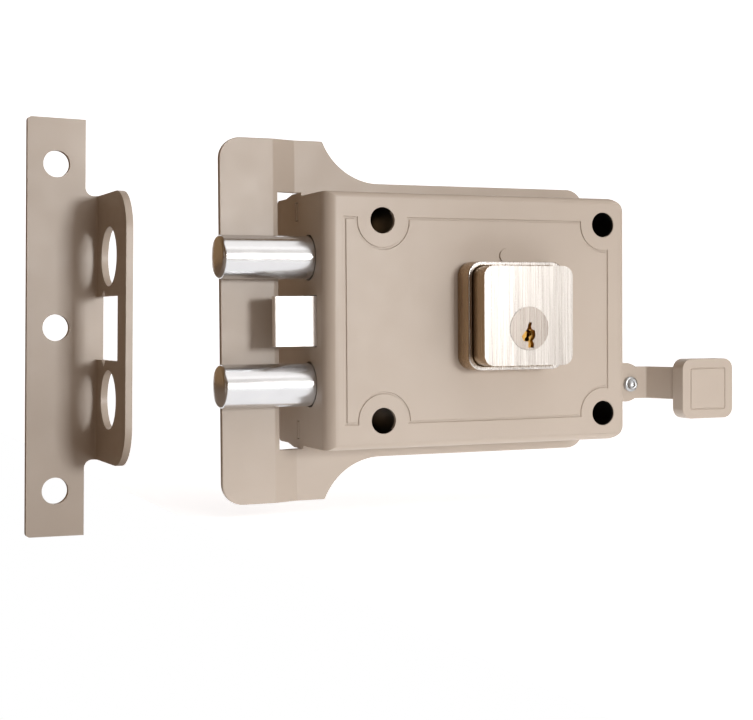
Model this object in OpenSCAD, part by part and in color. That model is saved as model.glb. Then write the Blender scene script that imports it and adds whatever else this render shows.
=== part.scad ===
// Surface-mounted door lock: two round deadbolts, a sprung latch, a key cylinder
// and a separate strike. The door face is the plane Y = 0, the room is towards -Y,
// and the origin is at the middle of the four fixing screws.

/* [Case] */
// Width of the case, from the forend to the right wall
case_w = 133.6; // [126:0.2:150]
// Height of the case
case_h = 100; // [98:1:120]
// Depth of the case, from its front to the back plate
case_d = 31; // [30.7:0.1:37]
// Thickness of the case walls and of the forend
wall = 2; // [1.4:0.1:2.4]
// Radius of the two right-hand corners
corner_r = 8; // [6:0.5:9]
// Rounding of the edge between the front and the forend
forend_edge_r = 5.5; // [3:0.5:6.5]
// Rounding of the other front edges
front_edge_r = 2.6; // [1:0.1:3]
// Depth of the forend, measured from the case front
forend_depth = 56; // [50:1:64]

/* [Panel on the case front] */
// Gap between the left edge of the case and the panel line
panel_left = 7.8; // [6:0.2:11]
// Gap between the right edge of the case and the panel line
panel_right = 8.3; // [6:0.1:10]
// Gap between the top or bottom of the case and the panel line
panel_edge = 9.7; // [7:0.1:12]
// Width of the panel line
line_w = 0.9; // [0.5:0.1:1.4]
// Depth of the panel line
line_depth = 0.5; // [0.2:0.1:0.8]
// Radius of the panel line round each screw hole
lobe_r = 10.5; // [8:0.5:12]
// Diameter of the small round boss above the cylinder
boss_d = 5.4; // [4:0.2:7]

/* [Fixing screws] */
// Distance between the screw holes, left to right
screw_span_x = 99; // [96:0.5:104]
// Distance between the screw holes, top to bottom
screw_span_z = 78; // [77:0.5:80]
// Distance from the forend to the left-hand screw holes
screw_inset = 24; // [23.5:0.1:24.5]
// Diameter of the access holes in the case front
access_d = 10.2; // [8:0.2:10.4]
// Diameter of the screw holes in the back plate
fixing_d = 6; // [4:0.5:7]

/* [Back plate] */
// Thickness of the back plate
plate_t = 2.5; // [2:0.1:3.5]
// Height of the plate behind the case
strip_h = 112; // [105:0.5:130]
// Height of the plate to the left of the case
tall_h = 144.8; // [138:0.2:170]
// Distance from the left edge of the plate to the forend
wing_reach = 33.3; // [28:0.1:44]
// Gap between the wing and the forend, where the strike comes through
wing_gap = 9.2; // [8:0.1:14]
// Step of the wing towards the room
wing_step = 3.3; // [2:0.1:3.5]
// Width of the sloping band between the wing and the plate
slope_w = 9.9; // [7:0.1:11]
// Height of the window that the forend passes through
window_h = 102.8; // [102.4:0.2:104]
// Radius of the two hollow corners above and below the case
cove_r = 26.6; // [20:0.2:32]
// Radius of the outer corners of the wing
wing_r = 8.5; // [4:0.5:12]

/* [Deadbolts] */
// Diameter of the deadbolts
bolt_d = 17; // [14:0.1:17.2]
// Distance between the two deadbolts, centre to centre
bolt_span = 50; // [48:0.5:51]
// Depth of the deadbolt axes behind the case front
bolt_depth = 19; // [18.4:0.1:19.1]
// Reach of the thrown deadbolts past the forend
bolt_reach = 38.1; // [36.2:0.1:46]
// Travel of the deadbolts in one turn of the key
bolt_throw = 36; // [28:0.5:36]
// Rounding of the deadbolt tips
tip_r = 1.6; // [0.5:0.1:3]
// Diameter of the deadbolt holes in the forend
bolt_hole_d = 18; // [17.4:0.1:18.6]
// Thickness of the cross bar that joins the deadbolts
bar_t = 6; // [4:0.5:8]

/* [Latch] */
// Height of the latch bolt
latch_h = 19.6; // [16:0.2:22]
// Thickness of the latch bolt, front to back
latch_t = 16; // [14:0.2:16.4]
// Depth of the latch front face behind the case front
latch_depth = 10; // [9.8:0.1:10.4]
// Reach of the latch past the forend
latch_reach = 17.4; // [17:0.1:20]
// Travel of the latch
latch_travel = 16.5; // [12:0.5:16.5]
// Width of the flat nose before the bevel starts
latch_nose = 2; // [1.6:0.2:5]
// Thickness of the latch tail, the pull bar and the arm
strap_t = 3; // [2.4:0.1:3.2]

/* [Key cylinder] */
// Distance from the forend to the middle of the cylinder
cyl_x = 77.5; // [76:0.1:79]
// Height of the middle of the cylinder above the case centre
cyl_z = 1.6; // [0.8:0.1:2.4]
// Side of the square front block
block_w = 39; // [36:0.5:40]
// Side of the square collar behind it
collar_w = 43; // [42.5:0.5:46]
// Height of the collar off the case
collar_h = 9.9; // [8:0.1:12]
// Height of the front block off the case
block_h = 19.9; // [18:0.1:24]
// Corner radius of the front block
block_r = 4.2; // [3:0.1:6]
// Drop of the plug below the middle of the cylinder
plug_drop = 5; // [4.8:0.1:5.6]
// Diameter of the plug face
plug_face_d = 17; // [15:0.5:19]
// Diameter of the plug body
plug_d = 13; // [12.6:0.1:13.4]
// Number of teeth on the drive pinion
teeth = 10; // [10:1:10]

/* [Pull] */
// Height of the pull bar, which passes above the lower screw hole
pull_h = 9; // [8:0.1:9.6]
// Height of the pull arm
arm_h = 13.8; // [11:0.1:14.4]
// Height of the pull arm below the case centre
arm_drop = 28.5; // [27.5:0.1:28.6]
// Reach of the rivet past the right wall
rivet_reach = 16.5; // [13:0.1:20]
// Diameter of the round end of the arm
arm_end_d = 16.9; // [15:0.1:18]
// Distance from the rivet to the near side of the knob
knob_gap = 12.2; // [11:0.1:16]
// Side of the square knob
knob_w = 25.5; // [20:0.5:30]
// Thickness of the knob
knob_t = 7.5; // [5.5:0.1:9]
// Drop of the knob centre below the arm centre
knob_drop = 1.6; // [0:0.1:4]
// Rounding of the knob's corners
knob_r = 4.4; // [2:0.2:6]

/* [Strike] */
// Height of the strike plate
strike_h = 148.4; // [136:0.2:170]
// Width of the strike plate above and below the flange
strike_w = 20.6; // [18:0.1:22.4]
// Thickness of the strike
strike_t = 2.4; // [2:0.1:3.2]
// Distance from the left edge of the strike to the outer face of the flange
strike_root = 27.5; // [26.8:0.1:34]
// Length of the flange
flange_len = 94.4; // [84:0.2:104]
// Height of the flange in front of the strike plate
flange_h = 39.4; // [34:0.2:46]
// Radius of the flange corners
flange_r = 14; // [8:0.5:18]
// Diameter of the deadbolt holes in the flange
keep_d = 20.7; // [18:0.1:22]
// Height of the deadbolt hole axes in front of the strike plate
keep_up = 16.2; // [14:0.1:18]
// Height of the latch slot, top to bottom
slot_h = 22.5; // [20.4:0.1:23.6]
// Diameter of the strike screw holes
strike_screw_d = 9.5; // [5:0.1:10.5]
// Distance between neighbouring strike screw holes
strike_pitch = 58; // [55:0.5:62]
// Gap between the forend and the inner face of the flange
strike_away = 88; // [80:1:130]

/* [Hidden] */
$fn = 48;

// Clearances: between sliding flats, round running fits, pieces that are dropped in, and
// the tabs that lock the plate into the forend
slide_gap = 0.2;
run_gap = 0.08;
seat_gap = 0.1;
tab_gap = 0.3;

// Places are given right of the forend and behind the case front
forend_x = -(screw_inset + screw_span_x / 2);
front_y = -(case_d + plate_t);
function X(right) = forend_x + right;
function Y(back) = front_y + back;

plate_y = Y(case_d);
half_h = case_h / 2;
screw_xs = [X(screw_inset), X(screw_inset + screw_span_x)];
screw_zs = [-screw_span_z / 2, screw_span_z / 2];
bolt_zs = [-bolt_span / 2, bolt_span / 2];
bolt_y = Y(bolt_depth);

// Tabs of the back plate that lock into the forend
tab_low = half_h - 9.6;
tab_high = half_h - 2.8;

// Wing of the back plate, and the sloping band beside it
wing_y = plate_y - wing_step;
slope_x0 = X(-wing_gap - 2);
slope_x1 = slope_x0 + slope_w;

// Screws that hold the case on the back plate
cover_d = 3;
cover_head_d = 5.6;
cover_xs = [X(46), X(screw_inset + screw_span_x - 11)];
cover_z = half_h - wall - 5;
lug_w = 9;
lug_d = 14;

// Guides between the forend and the cross bar
guide_t = 3;
front_guide_x = X(8);
rear_guide_x = X(screw_inset + access_d / 2 + 1.2);
guide_tab_w = 8;
guide_tab_z = half_h - wall - 6;

// Deadbolts, cross bar and rack
bar_x = rear_guide_x + guide_t + 9;
bar_front = bolt_depth - 8;
bar_back = bolt_depth + 2.5;
bar_half = bolt_span / 2 + bolt_d / 2;
bar_screw_d = 5;
bar_screw_in = 12;
bar_drill = bar_screw_in + 2;
bar_head_d = 7;
bar_head_t = 3;
pinion_r = bolt_throw / (2 * PI);
tooth_pitch = bolt_throw / teeth;
addendum = 0.25 * tooth_pitch;
dedendum = 0.32 * tooth_pitch;
plug_x = X(cyl_x);
plug_z = cyl_z - plug_drop;
rack_line = plug_z + pinion_r;
rack_front = wall + 3;
rack_back = rack_front + 4;
rack_h = 9;
rack_rivet_d = 3;
rack_rivet_zs = [rack_line + dedendum + 2.2, rack_line + dedendum + rack_h - 2.4];

// Latch, tail and pull
strap_back = latch_depth + latch_t - 1;
latch_back = latch_depth + latch_t;
strap_front = strap_back - strap_t;
latch_end = 22;
latch_lap = 12;
strap_h = 12;
rivet_d = 3;
rivet_in = 5.8;
latch_rivet_xs = [X(latch_end) - 9, X(latch_end) - 3];
leg_x0 = X(case_w - wall - 39);
leg_w = 12;
leg_bottom = -arm_drop - pull_h / 2 + 0.3;
leg_top = strap_h / 2;
pull_front = strap_back;
pull_back = pull_front + strap_t;
arm_back = pull_front;
arm_front = arm_back - strap_t;
rivet_x = X(case_w + rivet_reach);
arm_rivet_d = 4;
arm_rivet_head_d = 6.6;
knob_x = rivet_x + knob_gap + knob_w / 2;
knob_z = -arm_drop - knob_drop;
knob_front = 0;
knob_back = knob_front + knob_t;
knob_screw_d = 3;
arm_lean = 70;
arm_bend_r = 2.6;
arm_steps = 6;
arm_rise = (arm_front - knob_back - 2 * arm_bend_r * (1 - cos(arm_lean))) / sin(arm_lean);
bend_x0 = rivet_x + 7.4;
bend_x1 = bend_x0 + 2 * arm_bend_r * sin(arm_lean) + arm_rise * cos(arm_lean);
spring_z = -8;
spring_d = 7;
spring_wire = 0.8;
spring_turns = 8;
spigot_d = 4.6;
spigot_len = 4;

// Key cylinder
recess_d = 3.9;
recess_w = block_w + 0.4;
block_back = -(collar_h - recess_d);
stem_w = 26;
stem_h = 34;
plug_face_t = 3;
plug_end = wall + 2.6;
shaft_d = 6;
cyl_screw_d = 4;
cyl_screw_head_d = 7;
cyl_screw_xs = [X(cyl_x - 9.5), X(cyl_x + 9.5)];
cyl_screw_z = cyl_z + 8.2;
pin_d = 2.8;
pin_ys = [for (i = [0 : 4]) Y(-15 + 3.2 * i)];
pin_top = cyl_z + 15;
shear_z = plug_z + plug_d / 2;

// Strike
strike_left = -(strike_root - strike_t);
strike_at = [X(-strike_away), Y(-1.3), -1.85];
strike_turn = [0, 1.05, 1.9];
notch_r = 3;
notch_h = 2.3;

// A box between two corners
module box(x0, x1, y0, y1, z0, z1) {
    translate([x0, y0, z0]) cube([x1 - x0, y1 - y0, z1 - z0]);
}

// Round rods along X, Y and Z
module rod_x(x0, x1, y, z, d) {
    translate([x0, y, z]) rotate([0, 90, 0]) cylinder(d = d, h = x1 - x0);
}
module rod_y(y0, y1, x, z, d) {
    translate([x, y0, z]) rotate([-90, 0, 0]) cylinder(d = d, h = y1 - y0);
}
module rod_z(z0, z1, x, y, d) {
    translate([x, y, z0]) cylinder(d = d, h = z1 - z0);
}

// Outlines drawn in XZ, XY and YZ, and carried along Y, Z and X
module slab_y(y0, y1) {
    translate([0, y1, 0]) rotate([90, 0, 0]) linear_extrude(y1 - y0) children();
}
module slab_z(z0, z1) {
    translate([0, 0, z0]) linear_extrude(z1 - z0) children();
}
module slab_x(x0, x1) {
    translate([x0, 0, 0]) rotate([90, 0, 90]) linear_extrude(x1 - x0) children();
}

// Rectangle with a radius for each corner, anticlockwise from the lower left
module rounded(x0, x1, y0, y1, r) {
    difference() {
        translate([x0, y0]) square([x1 - x0, y1 - y0]);
        if (r[0] > 0) corner_cut(x0, y0, 1, 1, r[0]);
        if (r[1] > 0) corner_cut(x1, y0, -1, 1, r[1]);
        if (r[2] > 0) corner_cut(x1, y1, -1, -1, r[2]);
        if (r[3] > 0) corner_cut(x0, y1, 1, -1, r[3]);
    }
}
module corner_cut(x, y, sx, sy, r) {
    translate([x, y]) scale_signs(sx, sy) difference() {
        translate([-1, -1]) square(r + 1);
        translate([r, r]) circle(r);
    }
}
module scale_signs(sx, sy) {
    mirror([sx < 0 ? 1 : 0, 0]) mirror([0, sy < 0 ? 1 : 0]) children();
}

// Coil spring that starts at z = 0 and is length long between its wire centres
module coil(radius, wire, turns, length, sides = 6, steps = 12) {
    rings = turns * steps;
    points = [for (i = [0 : rings]) for (j = [0 : sides - 1])
        let (a = 360 * turns * i / rings, b = 360 * j / sides, r = radius + wire / 2 * cos(b))
        [r * cos(a), r * sin(a), length * i / rings + wire / 2 * sin(b)]];
    first = [[for (j = [sides - 1 : -1 : 0]) j]];
    last = [[for (j = [0 : sides - 1]) rings * sides + j]];
    skin = [for (i = [0 : rings - 1]) for (j = [0 : sides - 1])
        let (a = i * sides + j, b = i * sides + (j + 1) % sides)
        each [[a, b, b + sides], [a, b + sides, a + sides]]];
    polyhedron(points, concat(first, skin, last));
}

// The panel outline, drawn in by inset: a rectangle cut back round the screw holes
module panel_outline(inset) {
    difference() {
        translate([X(panel_left + inset), -half_h + panel_edge + inset])
            square([case_w - panel_left - panel_right - 2 * inset,
                    case_h - 2 * panel_edge - 2 * inset]);
        for (x = screw_xs, z = screw_zs) translate([x, z]) circle(lobe_r + inset);
    }
}

// Front, top, bottom and right walls of the case, as one pressed shell
module case_shell() {
    difference() {
        intersection() {
            slab_y(Y(0), plate_y)
                rounded(X(0), X(case_w), -half_h, half_h, [0, corner_r, corner_r, 0]);
            slab_z(-half_h - 1, half_h + 1)
                rounded(X(0), X(case_w), Y(0), plate_y + 1,
                        [forend_edge_r, front_edge_r, 0, 0]);
            slab_x(X(-1), X(case_w + 1))
                rounded(Y(0), plate_y + 1, -half_h, half_h,
                        [front_edge_r, 0, 0, front_edge_r]);
        }
        intersection() {
            slab_y(Y(wall), plate_y + 1)
                rounded(X(wall), X(case_w - wall), -half_h + wall, half_h - wall,
                        [0, corner_r - wall, corner_r - wall, 0]);
            slab_z(-half_h, half_h)
                rounded(X(wall), X(case_w - wall), Y(wall), plate_y + 1,
                        [forend_edge_r - wall, 0, 0, 0]);
        }
    }
}

// The forend carried back through the window of the plate
module forend_tail() {
    slab_x(X(0), X(wall)) {
        rounded(plate_y - 4, Y(forend_depth), -half_h, half_h, [0, 2, 2, 0]);
        for (s = [-1, 1]) scale([1, s]) polygon([
            [plate_y - 4.5, half_h - 1], [plate_y - 4.5, window_h / 2 - 0.1],
            [plate_y + 6.5, window_h / 2 - 0.1], [plate_y + 14, half_h],
            [plate_y + 14, half_h - 1]]);
    }
}

module case_cover() {
    color("tan") difference() {
        union() {
            case_shell();
            forend_tail();
            for (x = cover_xs, s = [-1, 1])
                box(x - lug_w / 2, x + lug_w / 2, plate_y - lug_d, plate_y,
                    s * cover_z - 5.5, s * cover_z + 5.5);
            rod_y(Y(-0.7), Y(1), plug_x, cyl_z + collar_w / 2 + boss_d / 2, boss_d);
            rod_x(X(case_w - wall - spigot_len), X(case_w - 1), Y(strap_back - strap_t / 2),
                  spring_z, spigot_d);
        }
        for (z = bolt_zs) rod_x(X(-1), X(wall + 1), bolt_y, z, bolt_hole_d);
        box(X(-1), X(wall + 1), Y(latch_depth - 0.25), Y(latch_back + 0.25),
            -latch_h / 2 - 0.25, latch_h / 2 + 0.25);
        for (s = [-1, 1])
            box(X(-1), X(wall + 1), plate_y - tab_gap, plate_y + plate_t,
                s < 0 ? -tab_high - tab_gap : tab_low - tab_gap,
                s < 0 ? -tab_low + tab_gap : tab_high + tab_gap);
        for (x = screw_xs, z = screw_zs) rod_y(Y(-1), Y(wall + 1), x, z, access_d);
        for (x = cover_xs, s = [-1, 1])
            rod_y(plate_y - lug_d + 2, plate_y + 1, x, s * cover_z, cover_d + 2 * run_gap);
        rod_y(Y(-1), Y(wall + 1), plug_x, plug_z, plug_d + 1);
        for (x = cyl_screw_xs) rod_y(Y(-1), Y(wall + 1), x, cyl_screw_z, cyl_screw_d + 0.4);
        box(X(case_w - wall - 1), X(case_w + 1), Y(pull_front - slide_gap),
            Y(pull_back + slide_gap), -arm_drop - pull_h / 2 - slide_gap,
            -arm_drop + pull_h / 2 + slide_gap);
        slab_y(Y(-1), Y(line_depth)) difference() {
            panel_outline(0);
            panel_outline(line_w);
        }
    }
}

module cover_screws() {
    color("silver") for (x = cover_xs, s = [-1, 1]) translate([0, 0, s * cover_z]) {
        rod_y(plate_y - lug_d + 3, 0, x, 0, cover_d);
        rod_y(-1.4, 0, x, 0, cover_head_d);
    }
}

// The flat of the plate: the tall left part, the hollow corners and the strip
module plate_outline() {
    cove_x = X(8.8 + cove_r);
    rounded(slope_x1, X(case_w - 1.8), -strip_h / 2, strip_h / 2, [0, 8, 8, 0]);
    difference() {
        translate([slope_x1, -tall_h / 2])
            square([cove_x - slope_x1, tall_h]);
        for (s = [-1, 1]) translate([cove_x, s * (strip_h / 2 + cove_r)]) circle(cove_r);
    }
}

module back_plate() {
        color("tan") difference() {
        union() {
            difference() {
                union() {
                    slab_y(plate_y, 0) plate_outline();
                    slab_y(wing_y, wing_y + plate_t)
                        rounded(X(-wing_reach), slope_x0, -tall_h / 2, tall_h / 2,
                                [wing_r, 0, 0, wing_r]);
                    slab_z(-tall_h / 2, tall_h / 2) polygon([
                        [slope_x0, wing_y], [slope_x1, plate_y],
                        [slope_x1, 0], [slope_x0, wing_y + plate_t]]);
                }
                box(X(-wing_gap), X(wall + slide_gap), wing_y - 1, 1, -window_h / 2, window_h / 2);
            }
            for (s = [-1, 1])
                box(X(0), X(wall + 1), plate_y, -tab_gap,
                    s < 0 ? -tab_high : tab_low, s < 0 ? -tab_low : tab_high);
        }
        for (x = screw_xs, z = screw_zs) rod_y(plate_y - 1, 1, x, z, fixing_d);
        for (x = cover_xs, s = [-1, 1]) {
            rod_y(plate_y - 1, 1, x, s * cover_z, cover_d + 0.4);
            rod_y(-1.5, 1, x, s * cover_z, cover_head_d + 0.2);
        }
        for (x = [front_guide_x, rear_guide_x], s = [-1, 1])
            box(x - seat_gap, x + guide_t + seat_gap, plate_y - 1, 1,
                s * guide_tab_z - guide_tab_w / 2 - seat_gap,
                s * guide_tab_z + guide_tab_w / 2 + seat_gap);
    }
}

// A guide plate across the case, which carries both deadbolts and the latch
module guide(x) {
    difference() {
        union() {
            box(x, x + guide_t, Y(wall + seat_gap), plate_y,
                -half_h + wall + slide_gap, half_h - wall - slide_gap);
            for (s = [-1, 1])
                box(x, x + guide_t, plate_y - 1, -0.1,
                    s * guide_tab_z - guide_tab_w / 2, s * guide_tab_z + guide_tab_w / 2);
        }
        for (z = bolt_zs) rod_x(x - 1, x + guide_t + 1, bolt_y, z, bolt_d + 2 * run_gap);
        box(x - 1, x + guide_t + 1, Y(latch_depth - slide_gap), Y(latch_back + slide_gap),
            -latch_h / 2 - slide_gap, latch_h / 2 + slide_gap);
    }
}
module front_guide() { color("gray") guide(front_guide_x); }
module rear_guide() { color("gray") guide(rear_guide_x); }

// A round bar with a rounded tip and a tapped hole in its inner end
module deadbolt(z) {
    length = bar_x - X(-bolt_reach);
    color("silver") translate([X(-bolt_reach), bolt_y, z]) rotate([0, 90, 0]) difference() {
        rotate_extrude() {
            square([bolt_d / 2 - tip_r, length]);
            translate([0, tip_r]) square([bolt_d / 2, length - tip_r]);
            translate([bolt_d / 2 - tip_r, tip_r]) intersection() {
                circle(tip_r);
                translate([0, -tip_r]) square(tip_r);
            }
        }
        translate([0, 0, length - bar_drill])
            cylinder(d = bar_screw_d + 2 * run_gap, h = bar_drill + 1);
    }
}
module upper_deadbolt() { deadbolt(bolt_zs[1]); }
module lower_deadbolt() { deadbolt(bolt_zs[0]); }

module cross_bar() {
    color("dimgray") difference() {
        slab_x(bar_x, bar_x + bar_t)
            rounded(Y(bar_front), Y(bar_back), -bar_half, bar_half, [1, 1, 1, 1]);
        for (z = bolt_zs) rod_x(bar_x - 1, bar_x + bar_t + 1, bolt_y, z, bar_screw_d + 2 * run_gap);
        for (z = rack_rivet_zs)
            rod_y(Y(bar_front - 1), Y(bar_back + 1), bar_x + bar_t / 2, z, rack_rivet_d + 2 * run_gap);
    }
}

module bar_screws() {
    color("silver") for (z = bolt_zs) {
        rod_x(bar_x - bar_screw_in, bar_x + bar_t + 1, bolt_y, z, bar_screw_d);
        rod_x(bar_x + bar_t, bar_x + bar_t + bar_head_t, bolt_y, z, bar_head_d);
    }
}

// One rack tooth, hanging below the rack, with its middle at x
module rack_tooth(x) {
    polygon([
        [x - 0.33 * tooth_pitch, rack_line + dedendum + 0.5],
        [x - 0.2 * tooth_pitch, rack_line], [x - 0.12 * tooth_pitch, rack_line - addendum],
        [x + 0.12 * tooth_pitch, rack_line - addendum], [x + 0.2 * tooth_pitch, rack_line],
        [x + 0.33 * tooth_pitch, rack_line + dedendum + 0.5]]);
}

module rack_bar() {
    ahead = ceil(bolt_throw / tooth_pitch) + 1;
    x0 = bar_x - 6;
    x1 = plug_x + 2 * tooth_pitch;
    color("dimgray") difference() {
        union() {
            slab_y(Y(rack_front), Y(rack_back)) {
                translate([x0, rack_line + dedendum]) square([x1 - x0, rack_h]);
                for (i = [-ahead : 1]) rack_tooth(plug_x + (i + 0.5) * tooth_pitch);
            }
            box(bar_x, bar_x + bar_t, Y(rack_back - 1), Y(bar_front),
                rack_line + dedendum + 0.6, rack_line + dedendum + rack_h);
        }
        for (z = rack_rivet_zs)
            rod_y(Y(rack_front - 1), Y(bar_front + 1), bar_x + bar_t / 2, z,
                  rack_rivet_d + 2 * run_gap);
    }
}

module rack_rivets() {
    color("silver") for (z = rack_rivet_zs)
        rod_y(Y(rack_front), Y(bar_back), bar_x + bar_t / 2, z, rack_rivet_d);
}

// The latch seen from above: flat nose, rear bevel and a step for the tail
module latch_bolt() {
    x0 = X(-latch_reach);
    x1 = X(latch_end);
    color("silver") difference() {
        slab_z(-latch_h / 2, latch_h / 2) difference() {
            polygon([
                [x0, Y(latch_depth)], [x0, Y(latch_depth + latch_nose)],
                [x0 + 0.95 * (latch_t - latch_nose), Y(latch_back)],
                [x1 - latch_lap, Y(latch_back)], [x1 - latch_lap, Y(strap_front)],
                [x1, Y(strap_front)], [x1, Y(latch_depth)]]);
            corner_cut(x0, Y(latch_depth), 1, 1, 1);
        }
        for (x = latch_rivet_xs)
            rod_y(Y(strap_front - rivet_in), Y(latch_back), x, 0, rivet_d + 2 * run_gap);
    }
}

module latch_tail() {
    x0 = X(latch_end) - latch_lap;
    color("dimgray") difference() {
        union() {
            slab_y(Y(strap_front), Y(strap_back)) {
                translate([x0, -strap_h / 2]) square([leg_x0 + leg_w - x0, strap_h]);
                translate([leg_x0, leg_bottom]) square([leg_w, leg_top - leg_bottom]);
            }
            rod_x(leg_x0 + leg_w - 1, leg_x0 + leg_w + spigot_len, Y(strap_back - strap_t / 2),
                  spring_z, spigot_d);
        }
        for (x = latch_rivet_xs)
            rod_y(Y(strap_front - 1), Y(strap_back + 1), x, 0, rivet_d + 2 * run_gap);
        for (z = [-arm_drop - 2.2, -arm_drop + 2.2])
            rod_y(Y(strap_front - 1), Y(strap_back + 1), leg_x0 + leg_w / 2, z,
                  rivet_d + 2 * run_gap);
    }
}

module latch_rivets() {
    color("silver") for (x = latch_rivet_xs)
        rod_y(Y(strap_front - rivet_in), Y(strap_back), x, 0, rivet_d);
}

module latch_spring() {
    x0 = leg_x0 + leg_w + spring_wire / 2 + 0.05;
    x1 = X(case_w - wall) - spring_wire / 2 - 0.05;
    color("silver") translate([x0, Y(strap_back - strap_t / 2), spring_z]) rotate([0, 90, 0])
        coil(spring_d / 2 - spring_wire / 2, spring_wire, spring_turns, x1 - x0);
}

module pull_bar() {
    color("dimgray") difference() {
        box(leg_x0 + 1, rivet_x + 4, Y(pull_front), Y(pull_back),
            -arm_drop - pull_h / 2, -arm_drop + pull_h / 2);
        for (z = [-arm_drop - 2.2, -arm_drop + 2.2])
            rod_y(Y(pull_front - 1), Y(pull_back + 1), leg_x0 + leg_w / 2, z,
                  rivet_d + 2 * run_gap);
        rod_y(Y(pull_front - 1), Y(pull_back + 1), rivet_x, -arm_drop, arm_rivet_d + 2 * run_gap);
    }
}

module bar_rivets() {
    color("silver") for (z = [-arm_drop - 2.2, -arm_drop + 2.2])
        rod_y(Y(strap_front), Y(pull_back), leg_x0 + leg_w / 2, z, rivet_d);
}

// One edge of the arm's double bend, for angles going from a0 to a1, where side is -1 at
// the front of the strip and 1 at its back
function near_bend(side, a0, a1) = [for (i = [0 : arm_steps])
    let (a = a0 + (a1 - a0) * i / arm_steps, r = arm_bend_r + side * strap_t / 2)
    [bend_x0 + r * sin(a), Y(arm_back - strap_t / 2 - arm_bend_r + r * cos(a))]];
function far_bend(side, a0, a1) = [for (i = [0 : arm_steps])
    let (a = a0 + (a1 - a0) * i / arm_steps, r = arm_bend_r - side * strap_t / 2)
    [bend_x1 - r * sin(a), Y(knob_back + strap_t / 2 + arm_bend_r - r * cos(a))]];

module pull_arm() {
    x2 = knob_x + 8;
    color("tan") difference() {
        union() {
            slab_z(-arm_drop - arm_h / 2 + 0.6, -arm_drop + arm_h / 2 + 0.6) polygon(concat(
                [[rivet_x, Y(arm_back)], [rivet_x, Y(arm_front)]],
                near_bend(-1, 0, arm_lean), far_bend(-1, arm_lean, 0),
                [[x2, Y(knob_back)], [x2, Y(knob_back + strap_t)]],
                far_bend(1, 0, arm_lean), near_bend(1, arm_lean, 0)));
            rod_y(Y(arm_front), Y(arm_back), rivet_x - 2.2, -arm_drop + 0.8, arm_end_d);
        }
        rod_y(Y(arm_front - 1), Y(arm_back + 1), rivet_x, -arm_drop, arm_rivet_d + 2 * run_gap);
        rod_y(Y(knob_back - 1), Y(knob_back + strap_t + 1), knob_x, -arm_drop,
              knob_screw_d + 2 * run_gap);
    }
}

module arm_rivet() {
    color("silver") {
        rod_y(Y(arm_front - 1.4), Y(pull_back + 1), rivet_x, -arm_drop, arm_rivet_d);
        rod_y(Y(arm_front - 1.4), Y(arm_front), rivet_x, -arm_drop, arm_rivet_head_d);
        rod_y(Y(pull_back), Y(pull_back + 1), rivet_x, -arm_drop, arm_rivet_head_d);
    }
}

module pull_knob() {
    half = knob_w / 2;
    inner = half - 3.75;
    color("tan") difference() {
        slab_y(Y(knob_front), Y(knob_back))
            rounded(knob_x - half, knob_x + half, knob_z - half, knob_z + half,
                    [knob_r, knob_r, knob_r, knob_r]);
        slab_y(Y(knob_front - 1), Y(knob_front + 0.4)) difference() {
            rounded(knob_x - inner, knob_x + inner, knob_z - inner, knob_z + inner, [1, 1, 1, 1]);
            rounded(knob_x - inner + 0.6, knob_x + inner - 0.6,
                    knob_z - inner + 0.6, knob_z + inner - 0.6, [0.6, 0.6, 0.6, 0.6]);
        }
        rod_y(Y(knob_back - 5), Y(knob_back + 1), knob_x, -arm_drop, knob_screw_d + 2 * run_gap);
    }
}

module knob_screw() {
    color("silver") {
        rod_y(Y(knob_back - 4.6), Y(knob_back + strap_t), knob_x, -arm_drop, knob_screw_d);
        rod_y(Y(knob_back + strap_t), Y(knob_back + strap_t + 1.8), knob_x, -arm_drop, 6);
    }
}

// Square collar on the case, with a recess that the front block sits in
module cylinder_collar() {
    half = collar_w / 2;
    x = X(cyl_x);
    color("wheat") difference() {
        slab_y(Y(-collar_h), Y(0))
            rounded(x - half, x + half, cyl_z - half, cyl_z + half,
                    [block_r + 1.6, block_r + 1.6, block_r + 1.6, block_r + 1.6]);
        slab_y(Y(-collar_h - 1), Y(block_back))
            rounded(x - recess_w / 2, x + recess_w / 2, cyl_z - recess_w / 2,
                    cyl_z + recess_w / 2, [block_r + 0.2, block_r + 0.2, block_r + 0.2, block_r + 0.2]);
        box(x - stem_w / 2 - seat_gap, x + stem_w / 2 + seat_gap, Y(-collar_h), Y(1),
            cyl_z - stem_h / 2 - seat_gap, cyl_z + stem_h / 2 + seat_gap);
    }
}

// Front block and the stem behind it, with the plug bore and the pin chambers
module cylinder_block() {
    half = block_w / 2;
    x = X(cyl_x);
    color("wheat") difference() {
        union() {
            slab_y(Y(-block_h), Y(block_back))
                rounded(x - half, x + half, cyl_z - half, cyl_z + half,
                        [block_r, block_r, block_r, block_r]);
            box(x - stem_w / 2, x + stem_w / 2, Y(block_back - 1), Y(0),
                cyl_z - stem_h / 2, cyl_z + stem_h / 2);
        }
        rod_y(Y(-block_h - 1), Y(1), plug_x, plug_z, plug_d + 2 * run_gap);
        rod_y(Y(-block_h - 1), Y(-block_h + plug_face_t + 0.1), plug_x, plug_z,
              plug_face_d + 2 * run_gap);
        for (y = pin_ys) rod_z(plug_z, pin_top, plug_x, y, pin_d + 2 * run_gap);
        for (sx = cyl_screw_xs) rod_y(Y(-9), Y(1), sx, cyl_screw_z, cyl_screw_d + 2 * run_gap);
    }
}

module cylinder_screws() {
    color("silver") for (x = cyl_screw_xs) {
        rod_y(Y(-8.6), Y(wall + 1), x, cyl_screw_z, cyl_screw_d);
        rod_y(Y(wall), Y(wall + 2.4), x, cyl_screw_z, cyl_screw_head_d);
    }
}

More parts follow.
